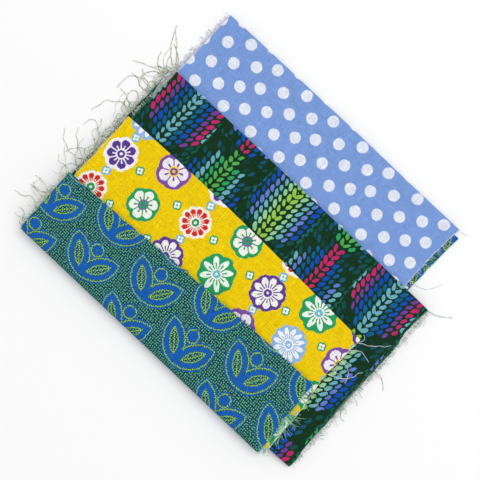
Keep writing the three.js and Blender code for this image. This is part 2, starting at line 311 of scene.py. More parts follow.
class Finish:
    """A material in the making. Its method node adds every node that it has."""

    def __init__(self, name):
        self.material = bpy.data.materials.new(name)
        self.material.use_nodes = True
        self.tree = self.material.node_tree
        self.tree.nodes.clear()

    def node(self, kind, settings, inputs, output=0):
        """A new node, with its settings and inputs. An input is a wire, a number, a
        vector or a colour code, and the result is one of the outputs as a wire."""
        made = self.tree.nodes.new("ShaderNode" + kind)
        for name, setting in settings.items():
            if name == "stops":
                self.set_stops(made.color_ramp, setting)
            else:
                setattr(made, name, setting)
        for place, given in inputs.items():
            if isinstance(given, Wire):
                self.tree.links.new(given.socket, made.inputs[place])
            else:
                made.inputs[place].default_value = shade(given) if isinstance(given, str) else given
        return Wire(self, made.outputs[output]) if made.outputs else None

    def set_stops(self, ramp, stops):
        ramp.interpolation = "CONSTANT"
        for index, (position, code) in enumerate(stops):
            stop = ramp.elements[index] if index < 2 else ramp.elements.new(position)
            stop.position = position
            stop.color = shade(code)

    def paint(self, under, mask, over):
        """The colour under, with the colour over laid on it where the mask is 1."""
        return self.node("Mix", {"data_type": "RGBA"}, {0: mask, 6: under, 7: over}, 2)

    def pair(self, x, y):
        """Two numbers as one vector, for a texture."""
        return self.node("CombineXYZ", {}, {0: x, 1: y})

    def chance(self, x, y, seed):
        """A random number from 0 to 1 for each pair of whole numbers."""
        where = self.node("CombineXYZ", {}, {0: x, 1: y, 2: seed})
        return self.node("TexWhiteNoise", {"noise_dimensions": "3D"}, {"Vector": where})

    def cloudy(self, x, y, detail):
        """A soft random number about 0.5, which changes over a length of about 1."""
        where = self.pair(x, y)
        settings = {"noise_dimensions": "2D"}
        return self.node("TexNoise", settings, {"Vector": where, "Scale": 1.0, "Detail": detail})

    def finish_with(self, **sockets):
        """Ends the material with a Principled shader that has these sockets."""
        named = {name.replace("_", " "): given for name, given in sockets.items()}
        shader = self.node("BsdfPrincipled", {}, named)
        self.node("OutputMaterial", {}, {"Surface": shader})
        return self.material


def shade(code):
    """The linear colour for a painter's code such as F7D500."""
    parts = [int(code[i:i + 2], 16) / 255 for i in (0, 2, 4)]
    linear = [p / 12.92 if p <= 0.04045 else ((p + 0.055) / 1.055) ** 2.4 for p in parts]
    return (*linear, 1.0)


print("a mid grey, 808080, as light:", [round(part, 3) for part in shade("808080")])

# %% [markdown]
# ## Shapes that the prints are made of
# A print's motif is a distance. For an oval we measure how far a point is inside its
# outline, for a pointed leaf how far it is inside two circles that cross, and for a
# flower how far out its petals reach at each angle. A mask is then that distance, cut off
# with a soft edge a fraction of a millimetre wide, as ink on cotton has.

# %% Motif shapes


def turned(x, y, angle):
    """The place x, y seen from axes that are turned by an angle in radians."""
    cosine, sine = math.cos(angle), math.sin(angle)
    return x * cosine + y * sine, y * cosine - x * sine


def from_middle(x, y):
    return (x * x + y * y).root()


def oval(x, y, half_length, half_width):
    """The distance inside an oval, below 0, or outside it."""
    share = from_middle(x / half_length, y / half_width)
    return (share - 1) * min(half_length, half_width)


def pointed_leaf(x, y, half_length, half_width):
    """The distance inside a leaf with two points, below 0, or outside it."""
    radius = (half_length ** 2 + half_width ** 2) / (2 * half_width)
    return from_middle(x, abs(y) + (radius - half_width)) - radius


def petals(x, y, count, turn):
    """For a flower: the distance from its middle, and 1 on a petal to 0 between two."""
    angle = x.sum("ARCTAN2", y, x)
    return from_middle(x, y), abs((angle * (count / 2) + turn).cosine())


def row_of_dots(along, across, pitch, radius):
    """A line of dots: along is the place on the line, across the distance from it."""
    beside = ((along / pitch) % 1.0 - 0.5) * pitch
    return from_middle(beside, across).below(radius)


def cells(x, y, width, height, drop):
    """Divides the cloth into cells, with every second column dropped by a share of a
    cell. Gives the column, the row and the place from the cell's middle."""
    column = (x / width).floor()
    lowered = y / height + (column % 2.0) * drop
    row = lowered.floor()
    return column, row, (x / width - column - 0.5) * width, (lowered - row - 0.5) * height


print("ink edges are soft over", 2 * INK_BLUR, "mm")

# %% [markdown]
# ## The four prints
# The polka dots follow the photograph: white dots in staggered rows, none quite in line.
# The other three are plain garden patterns in the photograph's colours and scale: pairs
# of leaves on a ground of pin dots, scattered flowers, and plumes of small leaves. Each
# function takes the place on the cloth in millimetres, u along the quarter yard and v
# across it, with v = 0 at the flap's far edge, and gives the printed colour.

# %% Polka dots
DOT_COLUMNS = 26.93
DOT_ROWS = 18.4
DOT_RADIUS = 4.27
DOT_WOBBLE = 0.7

# The dots' rows aren't quite square to the cloth: how they lean and stretch, and a shift
DOT_LEAN = (0.0495, -0.0069)
DOT_STRETCH = 1.016
DOT_SHIFT = (1.08, 0.77)

# The two sets of dots: where each starts, how far every second column strays both ways,
# and how far every second row strays along it
DOT_SETS = [
    {"start": (25.3, -4.95), "stray": (-0.78, -0.69), "row_stray": -0.9},
    {"start": (12.33, -14.34), "stray": (0.37, 0.39), "row_stray": 0.0},
]


def polka_dots(finish, u, v):
    wobble = finish.cloudy(u * 0.5, v * 0.5, 2.0) - 0.5
    across = u + v * DOT_LEAN[0] + DOT_SHIFT[0]
    down = v * DOT_STRETCH + u * DOT_LEAN[1] + DOT_SHIFT[1]
    mask = None
    for dots in DOT_SETS:
        across_from, down_from = across - dots["start"][0], down - dots["start"][1]
        column = (across_from / DOT_COLUMNS + 0.5).floor()
        row = (down_from / DOT_ROWS + 0.5).floor()
        odd_column, odd_row = column % 2.0 - 0.5, row % 2.0 - 0.5
        x = across_from - column * DOT_COLUMNS - odd_column * dots["stray"][0]
        x = x - odd_row * dots["row_stray"]
        y = down_from - row * DOT_ROWS - odd_column * dots["stray"][1]
        shown = (from_middle(x, y) + wobble * DOT_WOBBLE).below(DOT_RADIUS)
        mask = shown if mask is None else mask.larger(shown)
    thin_ink = finish.cloudy(u * 1.6, v * 1.6, 3.0)
    ground = finish.paint("83A3DD", thin_ink, "6B8CCB")
    dot = finish.paint("D6DCEC", thin_ink, "E4E8F2")
    return finish.paint(ground, mask, dot)


# %% Leaves on a ground of pin dots
PIN_PITCH = 1.65
PIN_RADIUS = 0.48
LEAF_CELL_WIDTH = 45.0
LEAF_CELL_HEIGHT = 34.0
LEAF_LENGTH = 29.0
LEAF_WIDTH = 14.0
LEAF_TURN = math.radians(52)
LEAF_BAND = 3.3
LEAF_MIDDLE = (9.1, -0.8)
BERRY_RADIUS = 3.6
BERRY_HEIGHT = 9.5


def paired_leaves(finish, u, v):
    teal, pin, blue, lime = "0A3C4C", "66B48C", "125AAC", "A0CA54"
    place = finish.pair(u / PIN_PITCH, v / PIN_PITCH)
    settings = {"voronoi_dimensions": "2D"}
    pins = finish.node("TexVoronoi", settings, {"Vector": place, "Scale": 1.0, "Randomness": 0.4})
    pin_mask = pins.below(PIN_RADIUS / PIN_PITCH, 0.05)
    dotted = finish.paint(teal, pin_mask, pin)
    _, _, x, y = cells(u + 16, v + 5, LEAF_CELL_WIDTH, LEAF_CELL_HEIGHT, 0.5)
    side = abs(x)
    along, off = turned(side - LEAF_MIDDLE[0], y - LEAF_MIDDLE[1], LEAF_TURN)
    depth = pointed_leaf(along, off, LEAF_LENGTH / 2, LEAF_WIDTH / 2)
    depth = depth.smaller(from_middle(side, y - BERRY_HEIGHT) - BERRY_RADIUS)
    inner = depth + LEAF_BAND
    solid = depth.below() * (1 - inner.below())
    hair = abs(depth - 2.1).below(0.45)
    colour = finish.paint(dotted, solid.larger(hair), blue)
    edge_dots = row_of_dots(along, depth - 0.9, 1.25, 0.4)
    inner_dots = row_of_dots(along, inner + 0.7, 1.2, 0.38)
    vein = row_of_dots(along, abs(off), 1.4, 0.42) * abs(along).below(8.5, 0.5)
    lime_mask = edge_dots.larger(inner_dots).larger(vein)
    return finish.paint(colour, lime_mask, lime)


# %% Scattered flowers
FLOWER_CELL_WIDTH = 36.0
FLOWER_CELL_HEIGHT = 31.0
FLOWER_SCALE = 1.14
SMALL_REACH = 3.0

# One row for each kind of flower: its petals, how deep they are cut in, how blunt they
# are, how far they reach, and the colours of the disc behind them, the petals, the
# middle and the ring round the middle
Flower = namedtuple("Flower", "petals cut blunt reach disc leaf heart ring")
FLOWERS = [
    Flower(9, 0.42, 0.6, 9.9, "5A3D92", "EDEAE2", "5A3D92", "EDEAE2"),
    Flower(6, 0.4, 0.55, 9.0, "23995C", "EDEEE4", "23995C", "7B4FA0"),
    Flower(12, 0.5, 0.9, 10.4, "8FB4DE", "EEF1F2", "8FB4DE", "EEF1F2"),
    Flower(11, 0.3, 0.5, 8.6, "EFEBE2", "CE2A20", "23995C", "EFEBE2"),
    Flower(5, 0.38, 0.6, 9.4, "7B4C9E", "E9E3EA", "7B4C9E", "F2D21A"),
    Flower(8, 0.55, 1.3, 10.8, "23995C", "E8F0E6", "6CB8CC", "E8F0E6"),
    Flower(7, 0.36, 0.6, 9.2, "EDE9EC", "56398C", "56398C", "EDE9EC"),
]
RING_RADIUS = 3.8
HEART_RADIUS = 2.8
EYE_RADIUS = 1.0


def one_of_kind(kind, index):
    """1 where a cell's kind is the one with this index, else 0."""
    return abs(kind - float(index)).below(0.5, 0.1)


def one_flower(finish, under, flower, chosen, away, angle):
    """Lays one kind of flower on the colour under, where chosen is 1."""
    petal = abs((angle * (flower.petals / 2)).cosine())
    reach = flower.reach * FLOWER_SCALE
    tips = petal ** flower.blunt
    outline = away - (tips * (reach * flower.cut) + reach * (1 - flower.cut))
    disc = away - (tips * 1.3 + reach * 1.06)
    seam = petal * away * (2 / flower.petals)
    colour = finish.paint(under, disc.below() * chosen, flower.disc)
    leaf = outline.below() * (1 - seam.below(0.42)) * chosen
    colour = finish.paint(colour, leaf, flower.leaf)
    stripe = (1 - petal).below(0.05, 0.02) * away.below(reach * 0.62, 0.2) * chosen
    colour = finish.paint(colour, stripe, flower.disc)
    middle = ((RING_RADIUS, flower.ring), (HEART_RADIUS, flower.heart), (EYE_RADIUS, flower.ring))
    for radius, code in middle:
        colour = finish.paint(colour, away.below(radius) * chosen, code)
    return colour


def small_flowers(finish, under, u, v):
    """Little round flowers in the gaps, green ones and light blue ones in turn."""
    column, _, x, y = cells(u, v, FLOWER_CELL_WIDTH / 2, FLOWER_CELL_HEIGHT, 0.5)
    away, petal = petals(x, y, 4, 0.6)
    green = (column % 2.0).below(0.5, 0.1)
    rim = finish.paint("5FAFCB", green, "23995C")
    round_rim = away - (petal * 0.5 + SMALL_REACH)
    colour = finish.paint(under, round_rim.below(), rim)
    inside = away - (petal * 1.1 + SMALL_REACH - 1.5)
    colour = finish.paint(colour, inside.below(), "E9F0E8")
    return finish.paint(colour, away.below(0.7), rim)


def scattered_flowers(finish, u, v):
    ink = finish.cloudy(u * 0.3, v * 0.3, 4.0)
    colour = finish.paint("F2D200", ink, "DDB900")
    colour = small_flowers(finish, colour, u + 4 + FLOWER_CELL_WIDTH / 4, v + 7)
    column, row, x, y = cells(u + 4, v + 7, FLOWER_CELL_WIDTH, FLOWER_CELL_HEIGHT, 0.5)
    kind = (column * 2.0 + row * 3.0 + 2.0) % float(len(FLOWERS))
    angle = x.sum("ARCTAN2", y, x) + finish.chance(column, row, 3.0) * 6.0
    away = from_middle(x, y) + (finish.cloudy(u * 0.4, v * 0.4, 1.0) - 0.5) * 1.2
    for index, flower in enumerate(FLOWERS):
        colour = one_flower(finish, colour, flower, one_of_kind(kind, index), away, angle)
    return colour


# %% Plumes of small leaves
PLUME_WIDTH = 50.0
PLUME_HEIGHT = 70.0
LEAFLET_ACROSS = 4.6
LEAFLET_ALONG = 5.3
LEAFLET_SLANT = 0.75
LEAFLET_LENGTH = 3.95
LEAFLET_WIDTH = 4.3
LEAST_LEAFLET = 0.82
LEAFLET_SPREAD = 0.26

# The colours of a plume's leaflets, from its stem outwards, one row for each plume
PLUMES = [
    ["67A8B8", "0D5B90", "1049AC", "733A96", "C0226C", "67A8B8"],
    ["4FA84E", "2A9C60", "67A8B8", "0D5B90", "1049AC", "5F79CC"],
    ["8FC24E", "8CC894", "67A8B8", "5F79CC", "1049AC", "0D5B90"],
    ["C0226C", "1049AC", "0D5B90", "5F79CC", "67A8B8", "2A9C60"],
]
SHADOW_LEAVES = ["0B4A48", "0D4457", "0A3F3B", "10506B", "0B4A48", "0E5A4E"]


def band_colours(finish, band, codes):
    """A colour for each band of leaflets, counted out from the stem."""
    stops = [(index / len(codes), code) for index, code in enumerate(codes)]
    position = (band + 0.5) / float(len(codes))
    return finish.node("ValToRGB", {"stops": stops}, {0: position})


def leafy_plumes(finish, u, v):
    ground = finish.paint("0C361B", finish.cloudy(u * 0.3, v * 0.3, 2.0), "082A16")
    stray = finish.cloudy(u * 0.2, v * 0.2, 1.0) - 0.5
    column, row, x, y = cells(u, v + 44, PLUME_WIDTH, PLUME_HEIGHT, 0.5)
    side = abs(x) + stray * 2.4
    band = (side / LEAFLET_ACROSS).floor()
    slanted = y - side * LEAFLET_SLANT + stray * 1.4 + (band % 2.0) * (LEAFLET_ALONG / 2)
    step = (slanted / LEAFLET_ALONG).floor()
    out = (side / LEAFLET_ACROSS - band - 0.5) * LEAFLET_ACROSS
    up = (slanted / LEAFLET_ALONG - step - 0.5) * LEAFLET_ALONG
    which = finish.chance(band + column * 17.0, step + row * 31.0, 2.0)
    size = which * LEAFLET_SPREAD + LEAST_LEAFLET
    leaflet = oval(out / size, up / size, LEAFLET_LENGTH / 2, LEAFLET_WIDTH / 2)
    leaflet = (leaflet + (finish.cloudy(u * 0.9, v * 0.9, 1.0) - 0.5) * 0.7).below()
    middle_side = (band + 0.5) * LEAFLET_ACROSS
    middle_y = (step + 0.5) * LEAFLET_ALONG + middle_side * LEAFLET_SLANT
    place = (middle_y / (PLUME_HEIGHT * 0.5)).smaller(1.0).larger(-1.0)
    reach = ((1 - place * place) * (place * -0.3 + 0.95)) * (PLUME_WIDTH * 0.56)
    in_plume = (middle_side - reach).below(0.0, 0.4)
    kind = (column + row * 2.0) % float(len(PLUMES))
    leaf_colour = band_colours(finish, band, PLUMES[0])
    for index, codes in enumerate(PLUMES[1:], 1):
        plume = band_colours(finish, band, codes)
        leaf_colour = finish.paint(leaf_colour, one_of_kind(kind, index), plume)
    dark = band_colours(finish, band, SHADOW_LEAVES)
    leaf_colour = finish.paint(dark, in_plume, leaf_colour)
    shown = in_plume.larger(which.below(0.62, 0.02))
    return finish.paint(ground, leaflet * shown, leaf_colour)


PRINTS = {
    "teal": paired_leaves, "yellow": scattered_flowers, "green": leafy_plumes, "blue": polka_dots,
}
print("prints:", ", ".join(PRINTS))

# %% [markdown]
# ## Cotton
# Quilting cotton is a plain weave, with about 27 threads to the centimetre, and it has
# almost no gloss. Some threads are a little thicker, which shows as faint streaks both
# ways. The ink lies on the right side only, so the wrong side is a paler print, and a cut
# edge is a faded tint of it with lighter specks. All of it follows the cloth's own map,
# so the weave runs round each fold with the cloth.

# %% Cotton finishes
THREAD_PITCH = 0.4
WORN_WIDTH = 0.35
# Painted shade: the colour is darker between the threads and lighter on their tops; streaks and grain are
# the cotton's own tone
WEAVE_SHADE_AND_TONE = {"least": 0.92, "weave": 0.1, "streaks": 0.55, "grain": 1.3}
RELIEF = {"weave": 0.5, "streaks": 0.8, "grain": 0.6}
RELIEF_HEIGHT = 0.00006
UNDYED = "E9E8E0"
SEEN_UNDYED = {"teal": 0.5, "yellow": 0.6, "green": 0.34, "blue": 0.62}
EDGE_TINTS = {"teal": "2E7A6E", "yellow": "E6CF3A", "green": "1E5038", "blue": "A9BDE8"}
WORN_TINTS = {"teal": "5E9E9A", "yellow": "E6D670", "green": "4C7E70", "blue": "DDE5F5"}


def cloth_place(finish):
    """The place on the flat cloth in millimetres."""
    where = finish.node("UVMap", {"uv_map": "cloth"}, {})
    scaled = finish.node("VectorMath", {"operation": "SCALE"}, {0: where, "Scale": 1 / MM})
    u = finish.node("SeparateXYZ", {}, {0: scaled}, 0)
    v = finish.node("SeparateXYZ", {}, {0: scaled}, 1)
    return u, v


def woven(finish, colour, u, v):
    """Ends a cloth's material: its colour, with painted shade between the threads, and its weave."""
    over = abs((u * (math.pi / THREAD_PITCH)).sine() * (v * (math.pi / THREAD_PITCH)).sine())
    streaks = finish.cloudy(u * 2.2, v * 0.11, 2.0) + finish.cloudy(u * 0.11, v * 2.2, 2.0) - 1.0
    grain = finish.cloudy(u * 1.5, v * 1.5, 4.0) - 0.5
    # Painted shade between the threads and on their tops, then the cotton's own streaks and grain
    shade_and_tone = WEAVE_SHADE_AND_TONE["least"] + over * WEAVE_SHADE_AND_TONE["weave"]
    shade_and_tone = shade_and_tone + streaks * WEAVE_SHADE_AND_TONE["streaks"] + grain * WEAVE_SHADE_AND_TONE["grain"]
    grey = finish.node("CombineColor", {}, {0: shade_and_tone, 1: shade_and_tone, 2: shade_and_tone})
    multiply = {"data_type": "RGBA", "blend_type": "MULTIPLY"}
    shaded_and_toned = finish.node("Mix", multiply, {0: 1.0, 6: colour, 7: grey}, 2)
    height = over * RELIEF["weave"] + streaks * RELIEF["streaks"] + grain * RELIEF["grain"]
    bump = finish.node("Bump", {}, {"Strength": 0.35, "Distance": RELIEF_HEIGHT, "Height": height})
    return finish.finish_with(
        Base_Color=shaded_and_toned, Roughness=0.88, Normal=bump,
        Specular_IOR_Level=0.15, Sheen_Weight=0.03, Sheen_Roughness=0.5,
    )


def worn_ends(finish, name, colour, u, v):
    """Lighter, loosened threads in the last bit of the cloth before a cut end."""
    from_end = u.smaller(cloth_length(name) - u) + finish.cloudy(u * 0.8, v * 0.8, 2.0) - 0.5
    return finish.paint(colour, from_end.below(WORN_WIDTH, 0.25) * 0.8, WORN_TINTS[name])


def right_side(name):
    finish = Finish(name + "_print")
    u, v = cloth_place(finish)
    return woven(finish, worn_ends(finish, name, PRINTS[name](finish, u, v), u, v), u, v)


def wrong_side(name):
    finish = Finish(name + "_wrong_side")
    u, v = cloth_place(finish)
    return woven(finish, finish.paint(PRINTS[name](finish, u, v), SEEN_UNDYED[name], UNDYED), u, v)


def cut_edge(name):
    finish = Finish(name + "_cut_edge")
    u, v = cloth_place(finish)
    speckle = finish.cloudy(u * 3.0, v * 3.0, 1.0).below(0.5, 0.08)
    tint = finish.paint(UNDYED, 0.75, EDGE_TINTS[name])
    return woven(finish, finish.paint(tint, speckle, WORN_TINTS[name]), u, v)


cloth_finishes = {name: [right_side(name), wrong_side(name), cut_edge(name)] for name in NAMES}
for name, finishes in cloth_finishes.items():
    print(name, "print:", len(finishes[0].node_tree.nodes), "nodes")

# %% [markdown]
# ## The way of the cloth
# Each cut is one sheet of about 228 by 1080 mm. We list the rows of a flat grid in the
# order in which the cloth runs: out from its edge at the far end of the base, round the
# shared fold and over the top, round the flap's edge, all the way back inside, and so on
# until four plies lie on each other. A row holds its place across the stack, its height,
# whether it is on the flap, and how many fold lines it is past. The plies don't end
# quite in line, so each fold line also has a shift for its two cut ends.

# %% Rows of one cut
PLIES = 4
PLY_PITCH = SHEET / PLIES
CLOTH = 0.24
LEG_STEP = 4.5
FOLD_ROWS = 10
WRAP_ROWS = 6
NOSE = SHEET / 2

# How far along X the cut ends lie from the solid's, as pairs: the fold lines passed, and
# the millimetres. Line 0 is the cloth's first edge, 1 the flap's fold, 2 the base's fold,
# 3 the inner fold and 4 the last edge
SHIFTS = {
    "teal": {
        "left": [(0, 0.0), (0.8, -0.3), (0.9, -0.4), (1, -0.3), (2, 0.4), (3, 0.3), (4, 0.3)],
        "right": [(0, -0.8), (0.8, 2.0), (0.85, 2.0), (0.88, 0.8), (0.91, 0.0), (0.94, 0.1),
                  (0.97, -0.6), (1, -0.4), (1.1, -0.8), (2, 0.5), (3, -0.9), (4, -0.6)],
    },
    "yellow": {
        "left": [(0, 0.0), (0.8, 0.1), (0.88, 0.8), (1, 0.8), (1.06, 0.4), (1.2, 0.3), (2, 0.3),
                 (2.9, 0.5), (3, 0.6), (3.2, 0.9), (4, 0.5)],
        "right": [(0, -1.0), (0.6, 2.3), (0.7, 1.4), (0.76, 1.9), (0.83, -0.7), (0.86, -1.7), (0.89, -1.6),
                  (0.92, -0.6), (0.95, 0.3), (1, 0.8), (1.05, 0.3), (1.1, -2.6), (1.4, -1.9),
                  (2, -1.2), (2.6, -0.8), (2.83, -2.6), (2.95, -1.6), (3, 0.2), (3.1, -2.6), (4, -3.0)],
    },
    "green": {
        "left": [(0, -0.4), (0.9, 1.2), (1, 1.6), (1.08, 0.9), (2, -0.5), (2.3, -0.5), (2.6, -2.0),
                 (2.8, -2.2), (3, -2.4), (3.055, -2.2), (3.1, 2.0), (4, 3.0)],
        "right": [(0, -1.4), (0.4, -0.8), (0.47, -0.4), (0.51, -1.3), (0.56, -2.0), (0.6, -1.8),
                  (0.65, -2.5), (0.74, -2.5), (0.78, -2.2), (0.83, -1.9), (0.87, -1.6), (0.91, -2.9),
                  (0.96, -2.4), (1, -1.2), (1.1, -3.2), (1.5, -2.4), (2, -2.2), (2.4, -1.0), (2.47, 0.2),
                  (2.51, -1.6), (2.56, -1.9), (2.6, -1.2), (2.65, -2.1), (2.74, -2.0), (2.78, -1.0),
                  (2.83, -0.8), (2.87, -0.2), (2.91, -2.9), (2.96, -2.0), (3, -0.7), (3.1, -3.2),
                  (3.5, -2.2), (4, -2.6)],
    },
    "blue": {
        "left": [(0, 0.2), (1, 0.0), (2, 0.5), (3, 0.6), (4, 0.3)],
        "right": [(0, -0.8), (0.84, -0.1), (0.9, -0.6), (1, 0.5), (1.05, -1.0), (2, -1.2),
                  (3, -0.2), (4, -1.0)],
    },
}


def running_lengths(places):
    """How far each place is on the way through all of them."""
    lengths = [0.0]
    for before, after in zip(places, places[1:]):
        lengths.append(lengths[-1] + math.dist(before[:2], after[:2]))
    return lengths


def ply_rows(name, ply):
    """The rows of one ply, from the base's far end round the fold to the flap's edge."""
    depth = (ply + 0.5) * PLY_PITCH
    radius = outer_radius(name) - depth
    centre = fold_centre(name)
    base_end = CUTS[name]["base_edge"] - NOSE
    flap_end = mean_edge(name) - NOSE
    base_steps = math.ceil((base_end - centre) / LEG_STEP)
    flap_steps = math.ceil((flap_end - centre) / LEG_STEP)
    rows = [(between(base_end, centre, i / base_steps), -radius, 0.0) for i in range(base_steps)]
    for i in range(FOLD_ROWS + 1):
        angle = math.pi * (1.5 - i / FOLD_ROWS)
        rows.append((centre + radius * math.cos(angle), radius * math.sin(angle), i / FOLD_ROWS))
    rows += [(between(centre, flap_end, i / flap_steps), radius, 1.0) for i in range(1, flap_steps + 1)]
    return rows


def wrap_rows(name, is_flap, first, last):
    """The rows of the tight turn from one ply to another, at a leg's far edge."""
    middle = (first + last + 1) / 2 * PLY_PITCH
    radius = abs(last - first) / 2 * PLY_PITCH
    edge = (mean_edge(name) if is_flap else CUTS[name]["base_edge"]) - NOSE
    up = 1 if is_flap else -1
    turn = up if last > first else -up
    rows = []
    for i in range(1, WRAP_ROWS):
        angle = math.pi * (0.5 - i / WRAP_ROWS) * turn
        rise = up * (outer_radius(name) - middle) + radius * math.sin(angle)
        rows.append((edge + radius * math.cos(angle), rise, float(is_flap)))
    return rows


def cloth_rows(name):
    """All rows of a cut in order, each with the number of fold lines that it is past."""
    rows = []
    for line, (ply, following) in enumerate(((0, 3), (3, 2), (2, 1), (1, None))):
        goes_to_flap = line % 2 == 0
        way = ply_rows(name, ply) if goes_to_flap else ply_rows(name, ply)[::-1]
        lengths = running_lengths(way)
        rows += [(*row, line + length / lengths[-1]) for row, length in zip(way, lengths)]
        if following is not None:
            rows += [(*row, line + 1.0) for row in wrap_rows(name, goes_to_flap, ply, following)]
    return rows


def way_lengths(rows):
    """How far each row is along the cloth, from 0 at the flap's outer fold."""
    lengths = running_lengths(rows)
    fold = next(length for row, length in zip(rows, lengths) if row[3] >= 1.0)
    return [length - fold for length in lengths]


for name in NAMES:
    rows = cloth_rows(name)
    lengths = way_lengths(rows)
    print(name, "cloth:", len(rows), "rows,", round(lengths[-1] - lengths[0], 1), "mm long")

# %% [markdown]
# ## Laying the cloth
# We start from a flat grid, write the cloth's own map on it, and then move each vertex
# to its place in the folded stack. Near a free edge the plies spring apart a little, and
# where a flap is bare, its surface has soft, low waves. A Solidify modifier gives the
# sheet its thickness, with one material for each side and one for the cut edges.

# %% Fold a cut
COLUMNS = 56
SPRING = 0.5
SPRING_LENGTH = 5.0
RAGGED = {"teal": 0.3, "yellow": 0.35, "green": 0.6, "blue": 0.25}
RAGGED_LENGTH = 4.0
WAVE_HEIGHT = 0.55
WAVE_LENGTH = 38.0
RIPPLE_HEIGHT = 0.12
RIPPLE_LENGTH = 14.0
WAVES_START = 20.0


def shift_at(name, side, line):
    """How far a cut end lies past the solid's, at a number of fold lines."""
    shifts = SHIFTS[name][side]
    for (low, before), (high, after) in zip(shifts, shifts[1:]):
        if line <= high:
            return between(before, after, (line - low) / (high - low))
    return shifts[-1][1]


def ragged(name, side, y, line):
    """How far a cut end strays, since it was cut and has frayed by hand."""
    seed = place_in_fan(name) * 10 + (5 if side == "left" else 0) + int(line)
    return RAGGED[name] * 2 * noise.noise(Vector((y / RAGGED_LENGTH, seed, 0)))


def soft_wave(name, x, y):
    """Low waves of the bare cloth, only upwards, so that nothing below is cut."""
    seed = place_in_fan(name) * 3.7
    wave = noise.noise(Vector((x / WAVE_LENGTH, y / WAVE_LENGTH, seed)))
    ripple = noise.noise(Vector((x / RIPPLE_LENGTH, y / RIPPLE_LENGTH, seed + 9)))
    return WAVE_HEIGHT * held(0.5 + wave) + RIPPLE_HEIGHT * held(0.5 + ripple)


def lay_point(name, row, share):
    """The place in the stack of a point at a share of the length, on one row."""
    y, rise, on_flap, line = row
    is_flap = on_flap > 0.5
    edge = mean_edge(name)
    across = width_share(name, y, edge if is_flap else CUTS[name]["base_edge"])
    ends = []
    for side in ("left", "right"):
        end = end_at(name, side, on_flap, across) + shift_at(name, side, line)
        ends.append(end + ragged(name, side, y, line))
    x = between(ends[0], ends[1], share)
    if is_flap and y > fold_centre(name):
        y += across * (flap_edge(name, share) - edge)
    z = FOLD_MIDDLE + rise
    if is_flap:
        bottom = FOLD_MIDDLE + outer_radius(name) - SHEET
        spring = SPRING * math.exp(-((flap_edge(name, share) - y) / SPRING_LENGTH) ** 2)
        z = bottom + (z - bottom) * (1 + spring)
        bare = smooth(y, bare_from(name), bare_from(name) + WAVES_START)
        z += bare * soft_wave(name, x, y)
    return x, y, settle(name, on_flap, x, y, z)


def flat_cloth(name, rows):
    """A grid with the cloth's map in metres, one row of vertices for each row."""
    cloth = bmesh.new()
    segments = len(rows) - 1
    bmesh.ops.create_grid(cloth, x_segments=COLUMNS, y_segments=segments, size=1.0)
    lengths = way_lengths(rows)
    width = cloth_length(name)
    layer = cloth.loops.layers.uv.new("cloth")
    for face in cloth.faces:
        face.smooth = True
        for loop in face.loops:
            share = (loop.vert.co.x + 1) / 2
            row = round((loop.vert.co.y + 1) / 2 * segments)
            loop[layer].uv = (share * width * MM, lengths[row] * MM)
    return cloth


def as_piece(name, mesh, finishes):
    """A finished piece: a mesh in the frame, with its materials."""
    for finish in finishes:
        mesh.materials.append(finish)
    return in_scene(name, mesh)


def folded_cut(name):
    rows = cloth_rows(name)
    cloth = flat_cloth(name, rows)
    segments = len(rows) - 1
    for vert in cloth.verts:
        row = rows[round((vert.co.y + 1) / 2 * segments)]
        vert.co = in_frame(*lay_point(name, row, (vert.co.x + 1) / 2))
    mesh = bpy.data.meshes.new(name + "_cloth_flat")
    cloth.to_mesh(mesh)
    cloth.free()
    piece = as_piece(name + "_cloth", mesh, cloth_finishes[name])
    thick = piece.modifiers.new("thickness", "SOLIDIFY")
    thick.thickness = CLOTH * MM
    thick.offset = 0.0
    thick.material_offset = 1
    thick.material_offset_rim = 2
    return piece


cloths = {name: folded_cut(name) for name in NAMES}
print("cloths:", {name: len(piece.data.polygons) for name, piece in cloths.items()})

# %% [markdown]
# ## A second map, for one square picture of each print
# The cloth needs a second map, OFBake, in which each print fits one square picture and no
# two faces share a place. The strip that shows gets most of the height.
# The wrong side and the cut edges get narrow bands. For this the thickness is made real
# first: in the mesh that Solidify gives, the first half of the vertices is the right side.

# %% Bake map
BAKE_LEFT = 0.005
BAKE_RIGHT = 0.955
BAKE_TURN = 1.5
BANDS = {"hidden": (0.005, 0.235), "bare": (0.24, 0.76), "inner": (0.765, 0.865)}
WRONG_BAND = (0.872, 0.962)
SELVAGE_BANDS = ((0.968, 0.978), (0.984, 0.994))
RIM_BANDS = {"left": (0.962, 0.974), "right": (0.982, 0.994)}


def bake_row(length, first, bare, last):
    """The height in the map's square for a place along the cloth."""
    if length < bare:
        low, high = BANDS["hidden"]
        return between(low, high, (length - first) / (bare - first))
    if length < BAKE_TURN:
        low, high = BANDS["bare"]
        return between(low, high, (length - bare) / (BAKE_TURN - bare))
    low, high = BANDS["inner"]
    return between(low, high, (length - BAKE_TURN) / (last - BAKE_TURN))


def with_real_thickness(piece):
    """Applies the modifiers by taking the mesh that they give."""
    graph = bpy.context.evaluated_depsgraph_get()
    mesh = bpy.data.meshes.new_from_object(piece.evaluated_get(graph))
    piece.modifiers.clear()
    piece.data = mesh
    mesh.name = piece.name
    mesh.set_sharp_from_angle(angle=math.radians(55))
    return mesh


